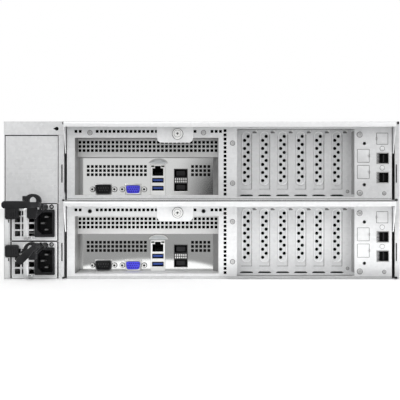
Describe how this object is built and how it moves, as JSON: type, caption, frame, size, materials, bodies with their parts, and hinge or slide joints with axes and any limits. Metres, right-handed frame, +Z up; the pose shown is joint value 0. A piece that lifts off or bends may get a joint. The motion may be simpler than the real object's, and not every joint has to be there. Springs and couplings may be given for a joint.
{
  "type": "rack server",
  "caption": "Rack server with stacked pull-out canisters, hot-swap power supplies beside them and drive carriers at the front, all in a sheet-metal chassis with rack ears.",
  "frame": {"origin": "centre of the chassis floor's underside, at mid depth and mid width", "axes": "+Z up, +Y towards the drive front, +X to the right when seen from the rear"},
  "size_m": [0.4826, 0.8588, 0.174],
  "materials": {
    "zinc_steel": "zinc-plated sheet, satin",
    "panel_steel": "zinc-plated sheet, matt",
    "lid_steel": "zinc-plated sheet, bright",
    "supply_steel": "plated sheet",
    "handle_steel": "bright bar",
    "nickel": "nickel-plated",
    "port_shell": "tinned shells",
    "fin_aluminium": "extruded",
    "board": "solder mask",
    "black_plastic": "moulded",
    "nylon": "moulded nylon",
    "button_plastic": "moulded",
    "front_paint": "powder coat",
    "carrier": "moulded bezel on a metal tray with the drive"
  },
  "bodies": {
    "chassis": {"chassis_shell": "zinc_steel", "top_cover": "zinc_steel", "power_cage": "zinc_steel", "blank_panel": "zinc_steel", "canister_shelf": "zinc_steel", "drive_cage": "zinc_steel", "midplane_board": "board", "front_panel": "front_paint", "rack_ears": "front_paint"},
    "power_button": {"power_button": "button_plastic"},
    "upper_canister": {"upper_tray": "zinc_steel", "upper_rear_panel": "panel_steel", "upper_io_panel": "panel_steel", "upper_slot_covers": "panel_steel", "upper_io_ports": "port_shell", "upper_storage_ports": "black_plastic", "upper_mainboard": "board", "upper_heatsinks": "fin_aluminium", "upper_fans": "black_plastic"},
    "upper_lid": {"upper_lid": "lid_steel"},
    "upper_thumbscrew": {"upper_thumbscrew": "nickel"},
    "upper_psu": {"upper_psu_housing": "supply_steel", "upper_inlet": "black_plastic", "upper_handle": "handle_steel", "upper_cord_strap": "nylon"},
    "upper_latch": {"upper_latch": "black_plastic"},
    "upper_clamp": {"upper_cord_clamp": "nylon"},
    "lower_canister": {"lower_tray": "zinc_steel", "lower_rear_panel": "panel_steel", "lower_io_panel": "panel_steel", "lower_slot_covers": "panel_steel", "lower_io_ports": "port_shell", "lower_storage_ports": "black_plastic", "lower_mainboard": "board", "lower_heatsinks": "fin_aluminium", "lower_fans": "black_plastic"},
    "lower_lid": {"lower_lid": "lid_steel"},
    "lower_thumbscrew": {"lower_thumbscrew": "nickel"},
    "lower_psu": {"lower_psu_housing": "supply_steel", "lower_inlet": "black_plastic", "lower_handle": "handle_steel", "lower_cord_strap": "nylon"},
    "lower_latch": {"lower_latch": "black_plastic"},
    "lower_clamp": {"lower_cord_clamp": "nylon"},
    "drive_carrier_a1": {"drive_carrier_a1": "carrier"},
    "drive_carrier_a2": {"drive_carrier_a2": "carrier"},
    "drive_carrier_a3": {"drive_carrier_a3": "carrier"},
    "drive_carrier_a4": {"drive_carrier_a4": "carrier"},
    "drive_carrier_b1": {"drive_carrier_b1": "carrier"},
    "drive_carrier_b2": {"drive_carrier_b2": "carrier"},
    "drive_carrier_b3": {"drive_carrier_b3": "carrier"},
    "drive_carrier_b4": {"drive_carrier_b4": "carrier"},
    "drive_carrier_c1": {"drive_carrier_c1": "carrier"},
    "drive_carrier_c2": {"drive_carrier_c2": "carrier"},
    "drive_carrier_c3": {"drive_carrier_c3": "carrier"},
    "drive_carrier_c4": {"drive_carrier_c4": "carrier"},
    "drive_carrier_d1": {"drive_carrier_d1": "carrier"},
    "drive_carrier_d2": {"drive_carrier_d2": "carrier"},
    "drive_carrier_d3": {"drive_carrier_d3": "carrier"},
    "drive_carrier_d4": {"drive_carrier_d4": "carrier"}
  },
  "joints": [
    {"name": "power_button_press", "type": "slide", "parent": "chassis", "child": "power_button", "axis": [0, -1, 0], "range_m": [0, 0.002], "stiffness_N_per_m": 1500, "springref_m": -0.001},
    {"name": "upper_canister_slide", "type": "slide", "parent": "chassis", "child": "upper_canister", "axis": [0, -1, 0], "range_m": [0, 0.56]},
    {"name": "upper_lid_slide", "type": "slide", "parent": "upper_canister", "child": "upper_lid", "axis": [0, -1, 0], "range_m": [0, 0.56]},
    {"name": "upper_thumbscrew_turn", "type": "hinge", "parent": "upper_lid", "child": "upper_thumbscrew", "pos_m": [-0.0264, -0.38, 0.1601], "axis": [0, -1, 0], "continuous": true},
    {"name": "upper_psu_slide", "type": "slide", "parent": "chassis", "child": "upper_psu", "axis": [0, -1, 0], "range_m": [0, 0.32]},
    {"name": "upper_latch_press", "type": "slide", "parent": "upper_psu", "child": "upper_latch", "axis": [1, 0, 0], "range_m": [0, 0.003], "stiffness_N_per_m": 1200, "springref_m": -0.001},
    {"name": "upper_clamp_slide", "type": "slide", "parent": "upper_psu", "child": "upper_clamp", "axis": [0, -1, 0], "range_m": [-0.002, 0.01]},
    {"name": "lower_canister_slide", "type": "slide", "parent": "chassis", "child": "lower_canister", "axis": [0, -1, 0], "range_m": [0, 0.56]},
    {"name": "lower_lid_slide", "type": "slide", "parent": "lower_canister", "child": "lower_lid", "axis": [0, -1, 0], "range_m": [0, 0.56]},
    {"name": "lower_thumbscrew_turn", "type": "hinge", "parent": "lower_lid", "child": "lower_thumbscrew", "pos_m": [-0.0264, -0.38, 0.0736], "axis": [0, -1, 0], "continuous": true},
    {"name": "lower_psu_slide", "type": "slide", "parent": "chassis", "child": "lower_psu", "axis": [0, -1, 0], "range_m": [0, 0.32]},
    {"name": "lower_latch_press", "type": "slide", "parent": "lower_psu", "child": "lower_latch", "axis": [1, 0, 0], "range_m": [0, 0.003], "stiffness_N_per_m": 1200, "springref_m": -0.001},
    {"name": "lower_clamp_slide", "type": "slide", "parent": "lower_psu", "child": "lower_clamp", "axis": [0, -1, 0], "range_m": [-0.002, 0.01]},
    {"name": "drive_carrier_a1_slide", "type": "slide", "parent": "chassis", "child": "drive_carrier_a1", "axis": [0, 1, 0], "range_m": [0, 0.21]},
    {"name": "drive_carrier_a2_slide", "type": "slide", "parent": "chassis", "child": "drive_carrier_a2", "axis": [0, 1, 0], "range_m": [0, 0.21]},
    {"name": "drive_carrier_a3_slide", "type": "slide", "parent": "chassis", "child": "drive_carrier_a3", "axis": [0, 1, 0], "range_m": [0, 0.21]},
    {"name": "drive_carrier_a4_slide", "type": "slide", "parent": "chassis", "child": "drive_carrier_a4", "axis": [0, 1, 0], "range_m": [0, 0.21]},
    {"name": "drive_carrier_b1_slide", "type": "slide", "parent": "chassis", "child": "drive_carrier_b1", "axis": [0, 1, 0], "range_m": [0, 0.21]},
    {"name": "drive_carrier_b2_slide", "type": "slide", "parent": "chassis", "child": "drive_carrier_b2", "axis": [0, 1, 0], "range_m": [0, 0.21]},
    {"name": "drive_carrier_b3_slide", "type": "slide", "parent": "chassis", "child": "drive_carrier_b3", "axis": [0, 1, 0], "range_m": [0, 0.21]},
    {"name": "drive_carrier_b4_slide", "type": "slide", "parent": "chassis", "child": "drive_carrier_b4", "axis": [0, 1, 0], "range_m": [0, 0.21]},
    {"name": "drive_carrier_c1_slide", "type": "slide", "parent": "chassis", "child": "drive_carrier_c1", "axis": [0, 1, 0], "range_m": [0, 0.21]},
    {"name": "drive_carrier_c2_slide", "type": "slide", "parent": "chassis", "child": "drive_carrier_c2", "axis": [0, 1, 0], "range_m": [0, 0.21]},
    {"name": "drive_carrier_c3_slide", "type": "slide", "parent": "chassis", "child": "drive_carrier_c3", "axis": [0, 1, 0], "range_m": [0, 0.21]},
    {"name": "drive_carrier_c4_slide", "type": "slide", "parent": "chassis", "child": "drive_carrier_c4", "axis": [0, 1, 0], "range_m": [0, 0.21]},
    {"name": "drive_carrier_d1_slide", "type": "slide", "parent": "chassis", "child": "drive_carrier_d1", "axis": [0, 1, 0], "range_m": [0, 0.21]},
    {"name": "drive_carrier_d2_slide", "type": "slide", "parent": "chassis", "child": "drive_carrier_d2", "axis": [0, 1, 0], "range_m": [0, 0.21]},
    {"name": "drive_carrier_d3_slide", "type": "slide", "parent": "chassis", "child": "drive_carrier_d3", "axis": [0, 1, 0], "range_m": [0, 0.21]},
    {"name": "drive_carrier_d4_slide", "type": "slide", "parent": "chassis", "child": "drive_carrier_d4", "axis": [0, 1, 0], "range_m": [0, 0.21]}
  ]
}
